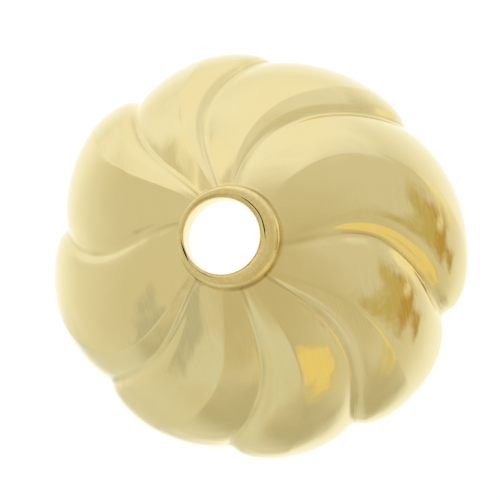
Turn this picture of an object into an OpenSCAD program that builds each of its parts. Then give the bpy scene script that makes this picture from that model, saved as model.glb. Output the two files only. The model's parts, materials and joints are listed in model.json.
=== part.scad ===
// Bead cap: a dome of eight swirled lobes with a collared thread hole, cast hollow in one piece

/* [Cap] */
// Width of the cap at its widest point, over the tallest lobes
cap_d = 12; // [10:0.25:15]
// Height of the dome from the rim to the collar's foot
dome_h = 5; // [4.4:0.1:6.5]
// Height of the widest point above the rim
girth_h = 1.1; // [0.6:0.1:1.8]
// How far the rim's outer edge lies inside the widest point
rim_tuck = 0.36; // [0.1:0.02:0.6]
// Thickness of the metal at the rim, at the grooves
rim_wall = 0.58; // [0.3:0.02:0.9]
// Thickness of the metal at the crown, around the collar
crown_wall = 0.75; // [0.65:0.05:1.2]
// Radius of the bowl's mouth edge
mouth_round = 0.12; // [0.05:0.01:0.25]

/* [Lobes] */
// Depth of the grooves on the dome, below the lobes' crests
groove_depth = 0.7; // [0.4:0.02:0.9]
// Depth of the grooves at the rim
rim_groove = 0.54; // [0.3:0.02:0.8]
// How far along the dome the grooves reach their full depth, as an angle from the cap's axis
groove_full = 58; // [35:1:75]
// How much of the groove's depth the lobe behind it climbs at once, before its even slope
riser_share = 0.15; // [0:0.05:0.5]
// How much of the groove's depth the lobe before it falls at once, after its even slope
fall_share = 0.5; // [0:0.05:0.6]
// Power of the hollow in the lobes' trailing flanks: 1 is straight
hollow_power = 1.15; // [1:0.05:1.6]

/* [Hole] */
// Diameter of the thread hole
bore_d = 2; // [1.2:0.05:2.6]
// How far the thread hole lies off the middle of the collar
bore_off = 0.19; // [0:0.01:0.21]
// Thickness of the collar round a thread hole in its middle
collar_wall = 0.36; // [0.35:0.01:0.8]
// Height of the collar above the dome
collar_h = 0.3; // [0.15:0.05:0.6]
// Radius of the collar's outer edge
collar_round = 0.09; // [0.04:0.01:0.1]
// Radius of the hole's upper edge
lip_round = 0.05; // [0.02:0.01:0.06]
// Radius of the hole's rounded entry from the bowl
entry_round = 0.6; // [0.2:0.05:0.7]

/* [Hidden] */

// A row for each lobe, anticlockwise: its width at the girth in degrees, how far the groove before it
// turns between the girth and the collar and how far it swings out half-way, in degrees, its crest's
// height as a share of the tallest, and the crest's place on the dome and at the girth, as shares of
// the lobe's width from its leading groove
lobes = [
    [57.8,   9.5, 16.5, 1.000, 0.44, 0.75],
    [45.5,  46.0,  6.0, 0.950, 0.75, 0.78],
    [42.2,  18.0, 12.0, 0.967, 0.71, 0.55],
    [44.5,  -2.0,  8.5, 0.994, 0.75, 0.66],
    [49.8, -12.0, 17.0, 0.982, 0.14, 0.70],
    [42.1,   8.5,  8.5, 0.962, 0.39, 0.62],
    [37.0,  18.5,  9.5, 0.971, 0.58, 0.58],
    [41.1,  11.5, 12.5, 1.000, 0.75, 0.50],
];
WIDTH = 0;
TURN = 1;
SWING = 2;
CREST = 3;
ON_DOME = 4;
AT_GIRTH = 5;
// Azimuth of the thread hole's offset
bore_az = 160;

girth_r = cap_d / 2;
bore_r = bore_d / 2;
collar_r = bore_r + collar_wall;
// The dome's first ring lies under the collar
top_angle = asin((collar_r - collar_round) / girth_r);
dome_rise = (dome_h - girth_h) / cos(top_angle);

// Shares of the leading and the trailing flank's width that the steps beside the groove take
riser_reach = 0.07;
fall_reach = 0.09;
// Share of the flanks over which the ridge is rounded off
ridge_reach = 0.05;
// How late the ridge fades into the girth's round lobes, as a power of the way down
ridge_fade = 2.5;
// Shape of a lobe's two flanks at the girth, each as [power, root]
lead_girth = [2, 0.8];
trail_girth = [2.3, 0.45];

// Mesh of the lobed surface: steps on each flank, and rings above and below the girth
lead_steps = 8;
trail_steps = 8;
dome_rings = 30;
tuck_rings = 5;

lobe_count = len(lobes);
lobe_steps = lead_steps + trail_steps;
column_count = lobe_count * lobe_steps;
ring_count = dome_rings + tuck_rings + 1;

function total(values, count) = count == 0 ? 0 : values[count - 1] + total(values, count - 1);
widths = [for (lobe = lobes) lobe[WIDTH]];
// Azimuth of the groove before each lobe, at the girth
groove_az = [for (i = [0:lobe_count]) total(widths, i) - widths[0] / 2];

// Reach of a column: 1 at the lobe's trailing groove, 0 on its crest and -1 at its leading groove
function eased(share) = (1 - cos(180 * share)) / 2;
function reach_of(step) = step <= trail_steps
    ? 1 - eased(step / trail_steps)
    : -eased((step - trail_steps) / lead_steps);

// A value that changes down the dome; run is 0 at the collar and 1 at the girth
function fading(on_dome, at_girth, run) = on_dome + (at_girth - on_dome) * pow(run, ridge_fade);

// Share of the way across a lobe, from its leading groove
function across(lobe, reach, run) =
    let (crest = fading(lobe[ON_DOME], lobe[AT_GIRTH], run))
    crest + reach * (reach < 0 ? crest : 1 - crest);

// Azimuth of the groove before a lobe; the grooves turn evenly with the radius
function turned(index, angle) =
    let (
        lobe = lobes[index % lobe_count],
        inward = (1 - sin(angle)) / (1 - sin(top_angle))
    )
    groove_az[index] + lobe[TURN] * inward + lobe[SWING] * 4 * inward * (1 - inward);

// Height of a lobe's surface between its grooves at 0 and its crest at 1
function rounded(reach, shape) = pow(max(0, 1 - pow(reach, shape[0])), shape[1]);
function softened(reach) =
    (norm([reach, ridge_reach]) - ridge_reach) / (norm([1, ridge_reach]) - ridge_reach);
function stepped(reach, step, step_reach, power) =
    step * (1 - exp((reach - 1) / step_reach)) + (1 - step) * pow(max(0, 1 - reach), power);
function bulge(reach, run) = reach < 0
    ? fading(stepped(softened(-reach), riser_share, riser_reach, 1), rounded(-reach, lead_girth), run)
    : fading(stepped(softened(reach), fall_share, fall_reach, hollow_power),
        rounded(reach, trail_girth), run);

// How far the grooves have grown down the dome, starting under the collar
function grown(run) = sin(90 * min(1, run * (90 - top_angle) / (groove_full - top_angle)));
function depth_at(run) = groove_depth + (rim_groove - groove_depth) * pow(run, 3);
function sink(lobe, reach, run) =
    let (height = bulge(reach, run))
    grown(run) * (depth_at(run) * (1 - height) + girth_r * (1 - lobe[CREST]) * height);

// A point of the lobed surface: [radius, height]
function dome_point(angle, depth) = [
    (girth_r - depth) * sin(angle),
    girth_h + (dome_rise - depth * cos(angle)) * cos(angle)];
function tuck_point(drop, depth) = [
    girth_r - depth - rim_tuck * drop * drop,
    girth_h * (1 - drop)];

function surface_point(ring, column) =
    let (
        index = floor(column / lobe_steps),
        lobe = lobes[index],
        reach = reach_of(column % lobe_steps),
        run = min(1, ring / dome_rings),
        angle = top_angle + (90 - top_angle) * run,
        from_az = turned(index, angle),
        to_az = turned(index + 1, angle),
        azimuth = to_az + (from_az - to_az) * across(lobe, reach, run),
        depth = sink(lobe, reach, run),
        point = ring <= dome_rings
            ? dome_point(angle, depth)
            : tuck_point((ring - dome_rings) / tuck_rings, depth)
    )
    [point[0] * cos(azimuth), point[0] * sin(azimuth), point[1]];

module lobed_body() {
    top_centre = ring_count * column_count;
    bottom_centre = top_centre + 1;
    polyhedron(
        points = [
            for (ring = [0:ring_count - 1], column = [0:column_count - 1]) surface_point(ring, column),
            [0, 0, dome_h],
            [0, 0, 0]],
        faces = [
            for (ring = [0:ring_count - 2], column = [0:column_count - 1])
                let (
                    next = (column + 1) % column_count,
                    a = ring * column_count + column,
                    b = ring * column_count + next,
                    c = a + column_count,
                    d = b + column_count
                )
                each [[a, b, d], [a, d, c]],
            for (column = [0:column_count - 1])
                let (next = (column + 1) % column_count, last = (ring_count - 1) * column_count)
                each [[top_centre, next, column], [bottom_centre, last + column, last + next]]],
        convexity = 6);
}

// The collar, with a rounded outer edge
module collar() {
    top = dome_h + collar_h;
    rotate_extrude($fn = 96) {
        translate([0, dome_h - crown_wall / 2])
            square([collar_r, collar_h + crown_wall / 2 - collar_round]);
        translate([0, dome_h])
            square([collar_r - collar_round, collar_h]);
        translate([collar_r - collar_round, top - collar_round])
            circle(collar_round, $fn = 48);
    }
}

// Bowl: a sphere through the mouth and the crown's inner face
mouth_r = girth_r - rim_tuck - rim_groove - rim_wall;
bowl_h = dome_h - crown_wall;
bowl_r = (mouth_r * mouth_r + bowl_h * bowl_h) / (2 * bowl_h);

module bowl() {
    below = 1;
    rotate_extrude($fn = 128) {
        intersection() {
            translate([0, bowl_h - bowl_r]) circle(bowl_r, $fn = 128);
            translate([0, -below]) square([girth_r, bowl_h + below]);
        }
        translate([0, -below]) square([mouth_r, below + mouth_round]);
        difference() {
            translate([0, -below]) square([mouth_r + mouth_round, below + mouth_round]);
            translate([mouth_r + mouth_round, mouth_round]) circle(mouth_round, $fn = 48);
        }
    }
}

// The thread hole, rounded outwards at both ends
module thread_hole() {
    top = dome_h + collar_h;
    // Height at which the rounded entry meets the bowl
    entry_r = bore_r + entry_round;
    entry_z = bowl_h - bowl_r + sqrt(bowl_r * bowl_r - entry_r * entry_r);
    translate([bore_off * cos(bore_az), bore_off * sin(bore_az)])
        rotate_extrude($fn = 96) {
            translate([0, bowl_h - entry_round]) square([bore_r, top + 1 - bowl_h + entry_round]);
            difference() {
                translate([0, top - lip_round]) square([bore_r + lip_round, lip_round + 1]);
                translate([bore_r + lip_round, top - lip_round]) circle(lip_round, $fn = 48);
            }
            difference() {
                translate([0, entry_z - entry_round]) square([entry_r, 2 * entry_round]);
                translate([entry_r, entry_z + entry_round]) circle(entry_round, $fn = 48);
            }
        }
}

module bead_cap() {
    color("gold")
        difference() {
            union() {
                lobed_body();
                collar();
            }
            bowl();
            thread_hole();
        }
}

bead_cap();
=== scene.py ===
# A polished, gold-plated bead cap: a dome of eight swirled lobes with a collared thread hole
import json
from math import acos, asin, atan, cos, hypot, pi, radians, sin, sqrt

import bmesh
import bpy
import numpy as np
from mathutils import Matrix, Vector, noise


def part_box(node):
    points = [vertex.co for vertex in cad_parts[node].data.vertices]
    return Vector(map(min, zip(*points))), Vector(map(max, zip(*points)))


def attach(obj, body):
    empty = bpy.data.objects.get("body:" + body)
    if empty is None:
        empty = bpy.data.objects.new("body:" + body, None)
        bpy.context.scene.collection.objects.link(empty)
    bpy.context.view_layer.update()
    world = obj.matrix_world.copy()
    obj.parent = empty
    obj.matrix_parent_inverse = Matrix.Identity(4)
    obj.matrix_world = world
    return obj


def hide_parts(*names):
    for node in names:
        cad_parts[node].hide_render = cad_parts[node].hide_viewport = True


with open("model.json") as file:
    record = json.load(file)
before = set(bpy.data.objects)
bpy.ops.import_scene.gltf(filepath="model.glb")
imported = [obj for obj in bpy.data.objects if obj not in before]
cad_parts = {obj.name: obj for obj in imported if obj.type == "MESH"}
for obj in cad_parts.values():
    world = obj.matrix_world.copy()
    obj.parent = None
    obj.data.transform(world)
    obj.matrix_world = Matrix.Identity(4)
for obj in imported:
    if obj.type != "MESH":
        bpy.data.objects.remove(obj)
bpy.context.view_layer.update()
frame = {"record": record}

bl_info = {
    "name": "Bead Cap",
    "version": (1, 0, 0),
    "blender": (4, 5, 0),
    "location": "View3D > Sidebar > Bead Cap",
    "description": "Builds a swirled, gold-plated bead cap and the studio that shows it",
    "category": "Add Mesh",
}

MM = 0.001
CAP_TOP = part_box("bead_cap")[1][2]
THREAD_HOLE = next(mount for mount in frame["record"]["mounts"] if mount["name"] == "thread_hole")

# A row for each lobe, anticlockwise: its width at the girth in degrees, how far the groove before it
# turns between the girth and the collar and how far it swings out half-way, in degrees, its crest's
# height as a share of the tallest, and the crest's place on the dome and at the girth, as shares of the
# lobe's width from its leading groove
LOBES = (
    (57.8, 9.5, 16.5, 1.000, 0.44, 0.75),
    (45.5, 46.0, 6.0, 0.950, 0.75, 0.78),
    (42.2, 18.0, 12.0, 0.967, 0.71, 0.55),
    (44.5, -2.0, 8.5, 0.994, 0.75, 0.66),
    (49.8, -12.0, 17.0, 0.982, 0.14, 0.70),
    (42.1, 8.5, 8.5, 0.962, 0.39, 0.62),
    (37.0, 18.5, 9.5, 0.971, 0.58, 0.58),
    (41.1, 11.5, 12.5, 1.000, 0.75, 0.50),
)

# On the dome each flank of a lobe leaves its groove in a short steep step, given as its shares of the
# groove's depth and of the flank's width, and goes on to the ridge: the leading flank straight, and the
# trailing flank slightly hollow, by this power
LEAD_STEP, TRAIL_STEP = (0.15, 0.07), (0.5, 0.09)
TRAIL_HOLLOW = 1.15
# Share of the flanks over which the ridge is rounded off
RIDGE_ROUND = 0.03
# At the girth both flanks are round, as (power, root), and the ridge has moved to its place there; it
# fades and moves by this power of the way down
LEAD_GIRTH, TRAIL_GIRTH = (2.0, 0.8), (2.3, 0.45)
RIDGE_FADE = 2.5
# How closely the casting's lumps lie in the bowl
LUMPS_PER_METRE = 900
# Edges that bend more than this are shaded as sharp
SHARP_ANGLE = radians(32)

# The noises in the plating, each as its repeats per metre, its detail and its roughness
GRAIN_NOISE, SHADE_PATCH_NOISE = (9 / MM, 2.0, 0.5), (0.7 / MM, 2.0, 0.5)
THICKNESS_NOISE, CLOUD_NOISE = (0.35 / MM, 3.0, 0.5), (1.4 / MM, 4.0, 0.6)
RIPPLE_NOISE = (0.8 / MM, 1.0, 0.5)
# The values of its noise between which the specks, the patches of painted shade and the thick plating set in
SPECK_RISE, SHADE_PATCH_RISE, THICK_RISE = (0.4, 0.6), (0.3, 0.7), (0.35, 0.7)
# The scratches run where a noise of this detail is near its middle value, by this much; it is drawn out
# one way by these repeats per metre, and turned by these angles
SCRATCH_DETAIL, NOISE_MIDDLE, SCRATCH_WIDTH = 1.0, 0.5, 0.012
SCRATCH_REPEATS, SCRATCH_TURN = (9 / MM, 0.5 / MM, 0.5 / MM), (0.4, 0.9, 0.3)
# The dull finish of the bowl fades out between these distances outside its sphere
BOWL_FADE = (0.1 * MM, 0.2 * MM)
# The collar's grain fades out over this width outside its side
COLLAR_FADE = 0.12 * MM
# How far below the collar's foot its grain and its painted shade line begin, and where the line is whole
FOOT_DROP, FOOT_WHOLE = 0.3 * MM, 0.2 * MM
# The painted shade lines at the collar's foot and round the hole's lip: how far outside the collar's side and
# the hole's wall each runs, and the half widths of its dark middle and of its soft edge
FOOT_LINE, LIP_LINE = (0.01 * MM, 0.01 * MM, 0.06 * MM), (0.06 * MM, 0.01 * MM, 0.05 * MM)
# Strength of the painted shade lines round the lip and in the grooves, where the one at the foot is 1
LIP_DARK, GROOVE_DARK = 0.8, 0.55
# How far the pale gold turns into the other colours: where the plating is thick, in the collar's specks,
# inside the bowl and in the painted shade lines
THICK_TINT, SPECK_TINT, BOWL_TINT, DARK_TINT = 0.5, 0.7, 0.8, 0.6
# How much the clouds in the plating and the painted shade lines change its roughness
CLOUD_ROUGHNESS, DARK_ROUGHNESS = 0.05, 0.12

# The tent round the cap, which the gold mirrors: panels painted one over the other, each with the angle
# from the camera's direction to its middle, its direction in the picture, the radii of its soft edge and
# of its even middle, all in degrees, and its colour
TENT = (
    (0, 0, 180, 76, (0.68, 0.66, 0.55)),
    (97, -80, 44, 10, (0.53, 0.51, 0.40)),
    (84, 95, 47, 10, (0.94, 0.95, 0.94)),
    (14, -70, 51, 6, (0.58, 0.53, 0.37)),
    (118, 232, 42, 7, (0.70, 0.72, 0.65)),
    (86, 1, 19, 5, (0.50, 0.35, 0.10)),
    (60, 5, 20, 5, (0.55, 0.46, 0.19)),
    (61, -44, 22, 5, (0.68, 0.62, 0.38)),
    (57, -46, 15, 1, (0.86, 0.73, 0.34)),
    (57, 235, 24, 13, (0.70, 0.72, 0.65)),
    (100, 19, 21, 5, (0.94, 0.89, 0.68)),
    (61, 203, 19, 7, (0.53, 0.53, 0.45)),
    (75, 135, 22, 9, (0.94, 0.93, 0.82)),
    (67, 64, 26, 6, (0.80, 0.81, 0.80)),
    (104, 138, 24, 6, (0.93, 0.95, 0.96)),
)
# Colour of the tent's bare cloth; how close the creases in it lie and their detail, and how far they push
# the panels' edges about
TENT_WHITE = (1.01, 1.06, 1.1)
CREASE_NOISE, CREASE_DEPTH = (3.0, 3.0), 0.25

WHITE = (1, 1, 1, 1)
# The floor's shine sets in between these slants of the view, where 1 is level with the floor
SHINE_SLANT = (0.2, 0.9)


def length(name, description, default, least=0):
    return bpy.props.FloatProperty(
        name=name, description=description, default=default, min=least, unit="LENGTH", precision=5)


def share(name, description, default, most=1):
    return bpy.props.FloatProperty(
        name=name, description=description, default=default, min=0, max=most, subtype="FACTOR")


def angle(name, description, default):
    return bpy.props.FloatProperty(
        name=name, description=description, default=radians(default), subtype="ANGLE", unit="ROTATION")


def colour(name, description, default):
    return bpy.props.FloatVectorProperty(
        name=name, description=description, default=default, subtype="COLOR", size=3, min=0, max=1)


class CapSizes(bpy.types.PropertyGroup):
    """Sizes of the cast cap"""
    width: length("Width", "Width of the circle that the tallest lobes touch", 12 * MM)
    height: length("Height", "Height from the rim to the top of the collar", CAP_TOP)
    girth_height: length("Girth height", "Height of the widest point above the rim", 1.1 * MM)
    rim_tuck: length("Rim tuck", "How far the rim's outer edge lies inside the widest point", 0.36 * MM)
    rim_wall: length("Rim wall", "Thickness of the metal at the rim, at the grooves", 0.58 * MM)
    crown_wall: length("Crown wall", "Thickness of the metal at the crown", 0.75 * MM)
    mouth_round: length("Mouth rounding", "Radius of the bowl's mouth edge", 0.12 * MM)
    groove_depth: length("Groove depth", "Depth of the grooves on the dome", 0.7 * MM)
    rim_groove: length("Groove depth at the rim", "Depth of the grooves at the rim", 0.54 * MM)
    groove_full: angle("Full groove angle", "Angle from the axis where the grooves are fully deep", 58)
    # The dark line in the grooves is painted shade
    groove_line: length("Groove line", "Width of the dark line in the grooves", 0.05 * MM)
    polish_round: length(
        "Polished rounding", "Half the width over which grooves and ridges are rounded", 0.25 * MM)
    bore: length("Thread hole", "Radius of the thread hole", THREAD_HOLE["dims"]["r_mm"] * MM)
    bore_x: length("Hole X", "Place of the thread hole along X", THREAD_HOLE["pos_m"][0], -MM)
    bore_y: length("Hole Y", "Place of the thread hole along Y", THREAD_HOLE["pos_m"][1], -MM)
    collar_wall: length("Collar wall", "Thickness of the collar round a hole in its middle", 0.36 * MM)
    collar_height: length("Collar height", "Height of the collar above the dome", 0.3 * MM)
    dome_inset: length(
        "Dome inset", "How far inside the collar's side the dome's surface would start", 0.09 * MM)
    outer_round: share(
        "Outer rounding", "Radius of the collar's outer edge, as a share of the wall there", 0.42, 0.6)
    lip_round: share(
        "Lip rounding", "Radius of the hole's upper edge, as a share of the collar's wall there", 0.32, 0.4)
    entry_round: length("Entry rounding", "Radius of the hole's entry from the bowl", 0.6 * MM)
    lumps: length("Lumps", "Height of the casting's lumps in the bowl", 0.09 * MM)


class GoldFinish(bpy.types.PropertyGroup):
    """The plating's colours and its small flaws"""
    pale: colour("Pale gold", "Colour of the polished plating", (0.93, 0.80, 0.44))
    deep: colour("Deep gold", "Colour where the plating is thick, and inside the cap", (0.92, 0.76, 0.37))
    collar: colour("Collar gold", "Colour of the specks on the collar", (0.93, 0.72, 0.30))
    # Colour of the painted shade: dark lines standing in for the shade in the creases round the collar, the
    # lip and the grooves
    painted_shade: colour(
        "Tarnish", "Colour of the dark lines round the collar and in the grooves", (0.36, 0.27, 0.10))
    polish: share("Polish", "Roughness of the polished outside", 0.05)
    dullness: share("Dullness", "Roughness of the bowl, which was not polished", 0.17)
    ripple: length("Ripple", "Height of the waves left in the polished metal", 0.006 * MM)
    grain: length("Grain", "Height of the grain on the collar", 0.009 * MM)
    scratches: length("Scratches", "Depth of the fine scratches", 0.0006 * MM)


class Studio(bpy.types.PropertyGroup):
    """Camera, floor and light"""
    distance: length("Distance", "Distance of the camera from the point that it looks at", 45.5 * MM)
    tilt: angle("Tilt", "Angle of the view from straight above", 11.8)
    up_turn: angle("Turn of the axis", "Direction of the cap's axis in the picture, from the right", 148.8)
    lobe_turn: angle("Turn of the cap", "Direction of the wide lobe in the picture, from the right", 11.1)
    fill: share("Fill", "Share of the picture's width that the cap fills", 0.86)
    aim: length("Aim", "Height above the floor that the camera looks at", 2 * MM)
    floor_glow: share("Floor glow", "Brightness of the lit floor, seen from above", 1.05, 2)
    floor_shine: share("Floor shine", "Strength of the floor's reflection at a low angle", 0.3)
    floor_blur: share("Floor blur", "Roughness of the floor's reflection", 0.2)
    floor_size: length("Floor size", "Width of the floor", 1.0)


class Wire:
    """A node's output that arithmetic works on: each sum or product adds a Math node"""

    def __init__(self, graph, socket):
        self.graph = graph
        self.socket = socket

    def _math(self, operation, *values):
        return self.graph.add("ShaderNodeMath", {"operation": operation}, dict(enumerate(values)))

    def __add__(self, other):
        return self._math("ADD", self, other)

    def __sub__(self, other):
        return self._math("SUBTRACT", self, other)

    def __rsub__(self, other):
        return self._math("SUBTRACT", other, self)

    def __mul__(self, other):
        return self._math("MULTIPLY", self, other)

    def __abs__(self):
        return self._math("ABSOLUTE", self)

    __radd__ = __add__
    __rmul__ = __mul__

    def rise(self, start, end):
        """0 up to start, 1 from end on, and smooth between them"""
        return self.graph.add(
            "ShaderNodeMapRange", {"interpolation_type": "SMOOTHSTEP"},
            {"Value": self, "From Min": start, "From Max": end}, "Result")

    def line(self, middle, core, edge):
        """1 within core of the middle, 0 from edge on, and smooth between them"""
        return 1 - abs(self - middle).rise(core, edge)


class Graph:
    """A node tree that is being filled"""

    # Sockets of a Mix node that are used when it mixes colours
    MIX_FACTOR, MIX_FIRST, MIX_SECOND, MIX_RESULT = 0, 6, 7, 2

    def __init__(self, owner):
        owner.use_nodes = True
        self.tree = owner.node_tree
        self.tree.nodes.clear()

    def add(self, kind, settings=None, sockets=None, output=0):
        """A node of this type, with its settings and then its sockets' values or links"""
        node = self.tree.nodes.new(kind)
        for name, value in (settings or {}).items():
            setattr(node, name, value)
        for key, value in (sockets or {}).items():
            if isinstance(value, Wire):
                self.tree.links.new(value.socket, node.inputs[key])
            else:
                node.inputs[key].default_value = value
        return Wire(self, node.outputs[output]) if node.outputs else None

    def mix(self, factor, first, second):
        """A colour between two colours, each a Wire or red, green and blue"""
        first, second = (tint if isinstance(tint, Wire) else (*tint, 1) for tint in (first, second))
        return self.add(
            "ShaderNodeMix", {"data_type": "RGBA"},
            {self.MIX_FACTOR: factor, self.MIX_FIRST: first, self.MIX_SECOND: second}, self.MIX_RESULT)

    def noise(self, place, scale, detail, roughness=0.5, output="Fac"):
        return self.add(
            "ShaderNodeTexNoise", {},
            {"Vector": place, "Scale": scale, "Detail": detail, "Roughness": roughness}, output)

    def vector(self, operation, first, second, output="Vector"):
        return self.add("ShaderNodeVectorMath", {"operation": operation}, {0: first, 1: second}, output)

    def distance(self, place, centre):
        return self.vector("DISTANCE", place, centre, "Value")

    def blend(self, factor, first, second):
        """A shader between two shaders"""
        return self.add("ShaderNodeMixShader", {}, {0: factor, 1: first, 2: second})


def new_material(name):
    """An empty material, and the graph that fills it"""
    material = bpy.data.materials.new(name)
    return material, Graph(material)


def parts(count):
    """Where each of so many equal parts of the way from 0 to 1 ends"""
    return [k / count for k in range(1, count + 1)]


def ring_of(radius, height, azimuths, centre=(0, 0)):
    """A ring of points at these azimuths; its radius and height may change round it"""
    x = centre[0] + radius * np.cos(azimuths)
    y = centre[1] + radius * np.sin(azimuths)
    return np.stack([x, y, np.broadcast_to(height, x.shape)], axis=1)


def rings_between(first, last, count):
    """Rings spread evenly from the first ring, which is left out, to the last"""
    return [first + (last - first) * part for part in parts(count)]


def rings_round(count, point, azimuths, centre=(0, 0)):
    """Rings along a quarter circle; point gives a ring's radius and height at an angle"""
    return [ring_of(*point(pi / 2 * part), azimuths, centre) for part in parts(count)]


def stepped(reach, step, power=1):
    """Height of a flank, from 1 on the ridge to 0 in the groove, with the steep step beside the groove"""
    depth, width = step
    return depth * (1 - np.exp((reach - 1) / width)) + (1 - depth) * np.maximum(0, 1 - reach) ** power


class CapForm:
    """The cap's whole surface as one closed grid: rings of points that run out over the dome, in under the
    rim, up the bowl, through the thread hole and back over the collar"""

    # Columns on the leading and on the trailing flank of each lobe
    LEAD_STEPS, TRAIL_STEPS = 24, 24
    # Rings on each zone, and on each rounded edge
    DOME_RINGS, TUCK_RINGS, RIM_RINGS, BOWL_RINGS = 132, 16, 5, 48
    ENTRY_RINGS, BORE_RINGS, TOP_RINGS, SIDE_RINGS = 12, 4, 3, 3
    EDGE_RINGS = 6
    # Points whose average gives a polished point
    POLISH_STEPS = 9

    def __init__(self, sizes):
        self.sizes = sizes
        self.girth = sizes.width / 2
        self.collar = sizes.bore + sizes.collar_wall
        self.dome = sizes.height - sizes.collar_height
        self.top_angle = asin((self.collar - sizes.dome_inset) / self.girth)
        self.dome_rise = (self.dome - sizes.girth_height) / cos(self.top_angle)
        self.mouth = self.girth - sizes.rim_tuck - sizes.rim_groove - sizes.rim_wall
        bowl_height = self.dome - sizes.crown_wall
        self.bowl = (self.mouth ** 2 + bowl_height ** 2) / (2 * bowl_height)
        self.bowl_centre = bowl_height - self.bowl
        self.hole = (sizes.bore_x, sizes.bore_y)
        self._lay_columns()
        # Where along the dome the collar's side meets it, the columns' azimuths there and at the girth, and
        # the radius of the hole's upper edge at each column
        self.foot_run = (asin(self.collar / self.girth) - self.top_angle) / (pi / 2 - self.top_angle)
        self.foot = self.azimuths(self.foot_run)
        self.low = self.azimuths(1)
        self.lip = sizes.lip_round * self.wall(self.low)

    def _lay_columns(self):
        """Each column's lobe and its reach: 0 on the crest, -1 at the leading groove, 1 at the trailing"""
        widths, turns, swings, crests, on_dome, at_girth = np.array(LOBES).T
        lead, trail = ((1 - np.cos(pi * np.arange(steps + 1) / steps)) / 2
                       for steps in (self.LEAD_STEPS, self.TRAIL_STEPS))
        reach = np.concatenate((trail[::-1], -lead[1:-1]))
        self.reach = np.tile(reach, len(LOBES))
        self.lobe = np.repeat(np.arange(len(LOBES)), len(reach))
        self.on_dome, self.at_girth = on_dome[self.lobe], at_girth[self.lobe]
        self.groove = np.radians(np.concatenate(([0], np.cumsum(widths))) - widths[0] / 2)
        self.turn = np.radians(np.append(turns, turns[0]))
        self.swing = np.radians(np.append(swings, swings[0]))
        self.crest_fall = self.girth * (1 - crests[self.lobe])

    def tilt(self, run):
        """Angle from the axis at a run, which is 0 where the dome would start and 1 at the girth"""
        return self.top_angle + (pi / 2 - self.top_angle) * run

    def across(self, run):
        """Each column's share of the way across its lobe, from the leading groove"""
        crest = self.on_dome + (self.at_girth - self.on_dome) * run ** RIDGE_FADE
        return crest + self.reach * np.where(self.reach < 0, crest, 1 - crest)

    def azimuths(self, run):
        """Each column's azimuth; the grooves turn evenly with the radius, and swing out half-way"""
        inward = (1 - sin(self.tilt(run))) / (1 - sin(self.top_angle))
        groove = self.groove + self.turn * inward + self.swing * 4 * inward * (1 - inward)
        start, end = groove[self.lobe], groove[self.lobe + 1]
        return end + (start - end) * self.across(run)

    def bulge(self, run):
        """Height across the lobes, from 0 in the grooves to 1 on the crests"""
        leading = self.reach < 0
        reach = abs(self.reach)
        power, root = (np.where(leading, *pair) for pair in zip(LEAD_GIRTH, TRAIL_GIRTH))
        at_girth = np.maximum(0, 1 - reach ** power) ** root
        reach = (np.hypot(reach, RIDGE_ROUND) - RIDGE_ROUND) / (hypot(1, RIDGE_ROUND) - RIDGE_ROUND)
        on_dome = np.where(leading, stepped(reach, LEAD_STEP), stepped(reach, TRAIL_STEP, TRAIL_HOLLOW))
        return on_dome + (at_girth - on_dome) * run ** RIDGE_FADE

    def sink(self, run):
        """How far each column's point lies below the smooth dome"""
        sizes = self.sizes
        reach = run * (pi / 2 - self.top_angle) / (sizes.groove_full - self.top_angle)
        grown = sin(pi / 2 * min(1, reach))
        depth = sizes.groove_depth + (sizes.rim_groove - sizes.groove_depth) * run ** 3
        height = self.bulge(run)
        return grown * (depth * (1 - height) + self.crest_fall * height)

    def polished(self, sink, run, radius):
        """The sink round a ring, with its grooves and ridges rounded as if by polishing"""
        azimuths = self.azimuths(run)
        around = np.concatenate((azimuths - 2 * pi, azimuths, azimuths + 2 * pi))
        steps = np.linspace(-1, 1, self.POLISH_STEPS + 2)[1:-1]
        weights = (1 - steps ** 2) / (1 - steps ** 2).sum()
        width = self.sizes.polish_round / radius * self.reach ** 2
        return sum(weight * np.interp(azimuths + step * width, around, np.tile(sink, 3))
                   for step, weight in zip(steps, weights))

    def as_cast(self, ring, depth):
        """A ring of the bowl with the casting's lumps, which lie along the bowl's radius"""
        centre = np.array((0, 0, self.bowl_centre))
        lumps = np.array([noise.noise(Vector(point) * LUMPS_PER_METRE) for point in ring])
        return ring + (ring - centre) / self.bowl * (depth * lumps)[:, None]

    def wall(self, azimuths):
        """Thickness of the collar's wall, which is thin on the side where the hole lies"""
        x, y = self.hole
        return self.sizes.collar_wall - x * np.cos(azimuths) - y * np.sin(azimuths)

    def rings(self):
        """All rings in order; the surface closes from the last one to the first"""
        rings = self._dome_rings() + self._tuck_rings()
        rings += self._rim_rings(rings[-1])
        rings += self._bowl_rings() + self._hole_rings()
        return rings + self._collar_rings(rings[-1], rings[0])

    def dome_runs(self):
        """Runs of the dome's rings, from the collar's foot to the girth"""
        return [self.foot_run + (1 - self.foot_run) * part for part in [0] + parts(self.DOME_RINGS)]

    def _dome_rings(self):
        """From the collar's foot out to the girth"""
        rings = []
        for run in self.dome_runs():
            tilt = self.tilt(run)
            sink = self.polished(self.sink(run), run, self.girth * sin(tilt))
            height = self.sizes.girth_height + (self.dome_rise - sink * cos(tilt)) * cos(tilt)
            rings.append(ring_of((self.girth - sink) * sin(tilt), height, self.azimuths(run)))
        return rings

    def _tuck_rings(self):
        """From the girth down and in to the rim"""
        sizes = self.sizes
        radius = self.girth - self.polished(self.sink(1), 1, self.girth)
        return [ring_of(radius - sizes.rim_tuck * drop ** 2, sizes.girth_height * (1 - drop), self.low)
                for drop in parts(self.TUCK_RINGS)]

    def _rim_rings(self, outer_edge):
        """Over the flat rim and the mouth's rounded edge"""
        edge = self.sizes.mouth_round
        inner_edge = ring_of(self.mouth + edge, 0.0, self.low)
        return rings_between(outer_edge, inner_edge, self.RIM_RINGS) + rings_round(
            self.EDGE_RINGS, lambda turn: (self.mouth + edge * (1 - sin(turn)), edge * (1 - cos(turn))),
            self.low)

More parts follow.
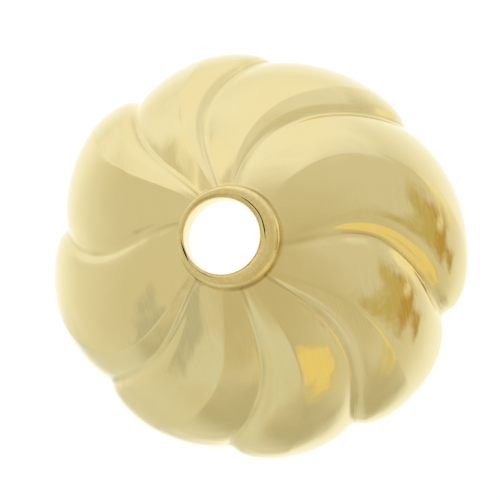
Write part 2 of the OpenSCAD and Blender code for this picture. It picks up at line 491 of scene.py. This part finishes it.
    def _bowl_rings(self):
        """Up the bowl; the rings' middle drifts to the thread hole"""
        sizes = self.sizes
        start = asin((sizes.mouth_round - self.bowl_centre) / self.bowl)
        end = acos((sizes.bore + sizes.entry_round) / self.bowl)
        rings = []
        for climb in parts(self.BOWL_RINGS):
            turn = start + (end - start) * climb
            drift = max(0, 2 * climb - 1) ** 2
            ring = ring_of(self.bowl * cos(turn), self.bowl_centre + self.bowl * sin(turn), self.low,
                           (self.hole[0] * drift, self.hole[1] * drift))
            rings.append(self.as_cast(ring, sizes.lumps * sin(pi * climb)))
        return rings

    def _hole_rings(self):
        """Through the rounded entry, up the hole's wall and over its lip"""
        sizes = self.sizes
        entry = sizes.bore + sizes.entry_round
        entry_height = self.bowl_centre + sqrt(self.bowl ** 2 - entry ** 2)
        wall_low = entry_height + sizes.entry_round
        wall_high = sizes.height - self.lip
        rings = rings_round(self.ENTRY_RINGS, lambda turn: (
            entry - sizes.entry_round * sin(turn), wall_low - sizes.entry_round * cos(turn)),
            self.low, self.hole)
        wall_top = ring_of(sizes.bore, wall_high, self.low, self.hole)
        rings += rings_between(rings[-1], wall_top, self.BORE_RINGS)
        return rings + rings_round(self.EDGE_RINGS, lambda turn: (
            sizes.bore + self.lip * (1 - cos(turn)), wall_high + self.lip * sin(turn)),
            self.low, self.hole)

    def _collar_rings(self, lip_ring, foot_ring):
        """Out over the collar's top and its rounded shoulder, and down its side to the dome"""
        height = self.sizes.height
        edge = self.sizes.outer_round * self.wall(self.foot)
        rings = rings_between(lip_ring, ring_of(self.collar - edge, height, self.foot), self.TOP_RINGS)
        rings += rings_round(self.EDGE_RINGS, lambda turn: (
            self.collar - edge * (1 - sin(turn)), height - edge * (1 - cos(turn))), self.foot)
        return rings + rings_between(rings[-1], foot_ring, self.SIDE_RINGS)[:-1]

    def groove_shades(self):
        """1 for the points in the grooves of the dome and the tuck, fading to 0 beside the painted shade line
        there
        """
        shades = []
        for run in self.dome_runs() + [1] * self.TUCK_RINGS:
            across = self.across(run)
            widths = (self.groove[self.lobe + 1] - self.groove[self.lobe]) * self.girth * sin(self.tilt(run))
            gaps = np.minimum(across, 1 - across) * widths
            shades.append(np.exp(-(gaps / self.sizes.groove_line) ** 2))
        return np.concatenate(shades)


def grid_mesh(name, rings):
    """A mesh through closed rings, joined to each other and the last to the first"""
    points = np.concatenate(rings)
    count, columns = len(rings), len(rings[0])
    ring, column = np.meshgrid(np.arange(count), np.arange(columns), indexing="ij")
    next_ring, next_column = (ring + 1) % count, (column + 1) % columns
    corners = [ring * columns + column, next_ring * columns + column,
               next_ring * columns + next_column, ring * columns + next_column]
    faces = np.stack(corners, axis=-1).reshape(-1, 4)
    mesh = bpy.data.meshes.new(name)
    mesh.from_pydata(points.tolist(), [], faces.tolist())
    mesh.update()
    return mesh


def show(name, data):
    """An object with this mesh or camera, in the scene"""
    item = bpy.data.objects.new(name, data)
    bpy.context.scene.collection.objects.link(item)
    return item


def groups_of(context):
    """The sizes, the finish and the studio, as they are set in the panel"""
    return context.scene.cap_sizes, context.scene.cap_finish, context.scene.cap_studio


def plating_masks(graph, place, form):
    """Masks for the inside of the bowl, for the collar, and for the painted shade lines round it and in the
    grooves
    """
    height = graph.add("ShaderNodeSeparateXYZ", {}, {"Vector": place}, "Z")
    flat = graph.vector("MULTIPLY", place, (1, 1, 0))
    from_axis = graph.distance(flat, (0, 0, 0))
    from_hole = graph.distance(flat, (*form.hole, 0))
    from_bowl = graph.distance(place, (0, 0, form.bowl_centre))
    inside = 1 - from_bowl.rise(*(form.bowl + fade for fade in BOWL_FADE))
    on_collar = (1 - from_axis.rise(form.collar, form.collar + COLLAR_FADE)) * height.rise(
        form.dome - FOOT_DROP, form.dome)
    # Painted shade: dark lines in the corner at the collar's foot, round the hole's lip and in each groove,
    # in uneven patches
    out, core, edge = FOOT_LINE
    foot = from_axis.line(form.collar + out, core, edge) * height.rise(
        form.dome - FOOT_DROP, form.dome - FOOT_WHOLE)
    out, core, edge = LIP_LINE
    lip = from_hole.line(form.sizes.bore + out, core, edge) * on_collar
    groove = graph.add("ShaderNodeAttribute", {"attribute_name": "groove"}, output="Fac")
    patches = graph.noise(place, *SHADE_PATCH_NOISE).rise(*SHADE_PATCH_RISE)
    return inside, on_collar, (foot + lip * LIP_DARK + groove * GROOVE_DARK) * patches


def gold_plate(form, finish):
    """Polished plating on cast metal: mirror-like with soft ripples and fine scratches, grainy on the collar
    where the polishing wheel can't reach, with painted shade as dark lines round the collar and in the
    grooves, and duller inside"""
    material, graph = new_material("gold_plate")
    place = graph.add("ShaderNodeTexCoord", output="Object")
    inside, on_collar, dark = plating_masks(graph, place, form)
    grain = graph.noise(place, *GRAIN_NOISE)

    thick = graph.noise(place, *THICKNESS_NOISE).rise(*THICK_RISE)
    gold = graph.mix(thick * THICK_TINT, finish.pale, finish.deep)
    gold = graph.mix(on_collar * grain.rise(*SPECK_RISE) * SPECK_TINT, gold, finish.collar)
    gold = graph.mix(inside * BOWL_TINT, gold, finish.deep)
    # Painted shade: the creases round the collar, the lip and the grooves are darkened
    gold = graph.mix(dark * DARK_TINT, gold, finish.painted_shade)

    clouds = graph.noise(place, *CLOUD_NOISE) - NOISE_MIDDLE
    roughness = (finish.polish + clouds * CLOUD_ROUGHNESS + inside * (finish.dullness - finish.polish)
                 + dark * DARK_ROUGHNESS)

    ripple = graph.noise(place, *RIPPLE_NOISE) * finish.ripple
    drawn_out = graph.add("ShaderNodeMapping", {}, {
        "Vector": place, "Rotation": SCRATCH_TURN, "Scale": SCRATCH_REPEATS}, "Vector")
    scratches = graph.noise(drawn_out, 1.0, SCRATCH_DETAIL).line(NOISE_MIDDLE, 0.0, SCRATCH_WIDTH)
    relief = ripple - scratches * finish.scratches + grain * on_collar * finish.grain
    normal = graph.add("ShaderNodeBump", {}, {"Strength": 1.0, "Distance": 1.0, "Height": relief}, "Normal")

    surface = graph.add("ShaderNodeBsdfPrincipled", {}, {
        "Base Color": gold, "Metallic": 1.0, "Roughness": roughness, "Normal": normal})
    graph.add("ShaderNodeOutputMaterial", {}, {"Surface": surface})
    return material


class BEADCAP_OT_cap(bpy.types.Operator):
    """Builds the cap as one fine mesh in the cast part's place"""
    bl_idname = "beadcap.cap"
    bl_label = "Build the cap"

    def execute(self, context):
        sizes, finish, _ = groups_of(context)
        form = CapForm(sizes)
        mesh = grid_mesh("swirl_cap", form.rings())
        # Each point's share of the painted shade line in the grooves
        outside = form.groove_shades()
        shades = np.zeros(len(mesh.vertices))
        shades[:len(outside)] = outside
        mesh.attributes.new("groove", "FLOAT", "POINT").data.foreach_set("value", shades)
        mesh.polygons.foreach_set("use_smooth", [True] * len(mesh.polygons))
        mesh.set_sharp_from_angle(angle=SHARP_ANGLE)
        mesh.materials.append(gold_plate(form, finish))
        cap = show("swirl_cap", mesh)
        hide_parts("bead_cap")
        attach(cap, "root")
        return {"FINISHED"}


def floor_finish(studio):
    """A light table of satin acrylic: lit from under, a little shiny at a low angle, and clear from below"""
    material, graph = new_material("light_table")
    panel = graph.add("ShaderNodeEmission", {}, {"Color": WHITE, "Strength": studio.floor_glow})
    gloss = graph.add("ShaderNodeBsdfGlossy", {}, {"Color": WHITE, "Roughness": studio.floor_blur})
    slant = graph.add("ShaderNodeLayerWeight", {}, {"Blend": 0.5}, "Facing").rise(*SHINE_SLANT)
    top = graph.blend(slant * studio.floor_shine, panel, gloss)
    clear = graph.add("ShaderNodeBsdfTransparent", {}, {"Color": WHITE})
    below = graph.add("ShaderNodeNewGeometry", output="Backfacing")
    graph.add("ShaderNodeOutputMaterial", {}, {"Surface": graph.blend(below, top, clear)})
    return material


def lay_floor(studio):
    """A flat floor under the cap, which the gold doesn't mirror"""
    half = studio.floor_size / 2
    mesh = bpy.data.meshes.new("floor")
    mesh.from_pydata([(-half, -half, 0), (half, -half, 0), (half, half, 0), (-half, half, 0)], [],
                     [(0, 1, 2, 3)])
    mesh.materials.append(floor_finish(studio))
    floor = show("floor", mesh)
    floor.visible_glossy = False
    return floor


def hang_backdrop(studio):
    """A white dome round the floor that only the camera sees"""
    mesh = bpy.data.meshes.new("backdrop")
    form = bmesh.new()
    bmesh.ops.create_uvsphere(form, u_segments=48, v_segments=24, radius=studio.floor_size / 2)
    form.to_mesh(mesh)
    form.free()
    material, graph = new_material("white_paper")
    paper = graph.add("ShaderNodeEmission", {}, {"Color": WHITE, "Strength": 1.0})
    graph.add("ShaderNodeOutputMaterial", {}, {"Surface": paper})
    mesh.materials.append(material)
    dome = show("backdrop", mesh)
    dome.visible_diffuse = dome.visible_glossy = dome.visible_transmission = dome.visible_shadow = False
    return dome


def view_axes(studio):
    """The picture's right, its top and the way to the camera, nearly straight above the cap"""
    azimuth = studio.up_turn - pi - studio.lobe_turn
    back = Vector((sin(studio.tilt) * cos(azimuth), sin(studio.tilt) * sin(azimuth), cos(studio.tilt)))
    axis = (Vector((0, 0, 1)) - back * back.z).normalized()
    beside = axis.cross(back)
    roll = studio.up_turn - pi / 2
    return beside * cos(roll) - axis * sin(roll), beside * sin(roll) + axis * cos(roll), back


def tent(studio):
    """The light: a tent of soft panels, fixed round the cap"""
    world = bpy.data.worlds.new("light_tent")
    graph = Graph(world)
    right, up, back = view_axes(studio)
    look = graph.add("ShaderNodeTexCoord", output="Generated")
    creases = graph.noise(look, *CREASE_NOISE, output="Color")
    creases = graph.vector("SUBTRACT", creases, (NOISE_MIDDLE,) * 3)
    look = graph.vector("ADD", look, graph.vector("MULTIPLY", creases, (CREASE_DEPTH,) * 3))
    light = TENT_WHITE
    for away, turn, edge, middle, tint in TENT:
        away, turn = radians(away), radians(turn)
        way = (right * cos(turn) + up * sin(turn)) * sin(away) + back * cos(away)
        along = graph.vector("DOT_PRODUCT", look, way, "Value")
        light = graph.mix(along.rise(cos(radians(edge)), cos(radians(middle))), light, tint)
    graph.add("ShaderNodeOutputWorld", {}, {
        "Surface": graph.add("ShaderNodeBackground", {}, {"Color": light, "Strength": 1.0})})
    return world


def aim_camera(studio, sizes):
    """A camera over the cap, which fills its share of the picture"""
    data = bpy.data.cameras.new("camera")
    data.clip_start = 0.5 * MM
    data.angle = 2 * atan(sizes.width / 2 / studio.fill / studio.distance)
    camera = show("camera", data)
    right, up, back = view_axes(studio)
    place = Matrix((right, up, back)).transposed().to_4x4()
    place.translation = Vector((0, 0, studio.aim)) + back * studio.distance
    camera.matrix_world = place
    bpy.context.scene.camera = camera


class BEADCAP_OT_stage(bpy.types.Operator):
    """Lays the floor, lights the studio and sets up the camera"""
    bl_idname = "beadcap.stage"
    bl_label = "Set the stage"

    def execute(self, context):
        sizes, _, studio = groups_of(context)
        lay_floor(studio)
        hang_backdrop(studio)
        context.scene.world = tent(studio)
        context.scene.view_settings.view_transform = "Standard"
        aim_camera(studio, sizes)
        return {"FINISHED"}


class BEADCAP_PT_panel(bpy.types.Panel):
    """Sizes, finish and studio, and the steps that build them"""
    bl_idname = "BEADCAP_PT_panel"
    bl_label = "Bead Cap"
    bl_space_type = "VIEW_3D"
    bl_region_type = "UI"
    bl_category = "Bead Cap"

    def draw(self, context):
        for group, operator in zip(groups_of(context), (None, "beadcap.cap", "beadcap.stage")):
            box = self.layout.box()
            for name in group.__annotations__:
                box.prop(group, name)
            if operator:
                box.operator(operator)


CLASSES = (CapSizes, GoldFinish, Studio, BEADCAP_OT_cap, BEADCAP_OT_stage, BEADCAP_PT_panel)
GROUPS = {"cap_sizes": CapSizes, "cap_finish": GoldFinish, "cap_studio": Studio}


def register():
    for kind in CLASSES:
        bpy.utils.register_class(kind)
    for name, kind in GROUPS.items():
        setattr(bpy.types.Scene, name, bpy.props.PointerProperty(type=kind))


def unregister():
    for name in GROUPS:
        delattr(bpy.types.Scene, name)
    for kind in reversed(CLASSES):
        bpy.utils.unregister_class(kind)


def main():
    register()
    bpy.ops.beadcap.cap()
    bpy.ops.beadcap.stage()


if __name__ == "__main__":
    main()
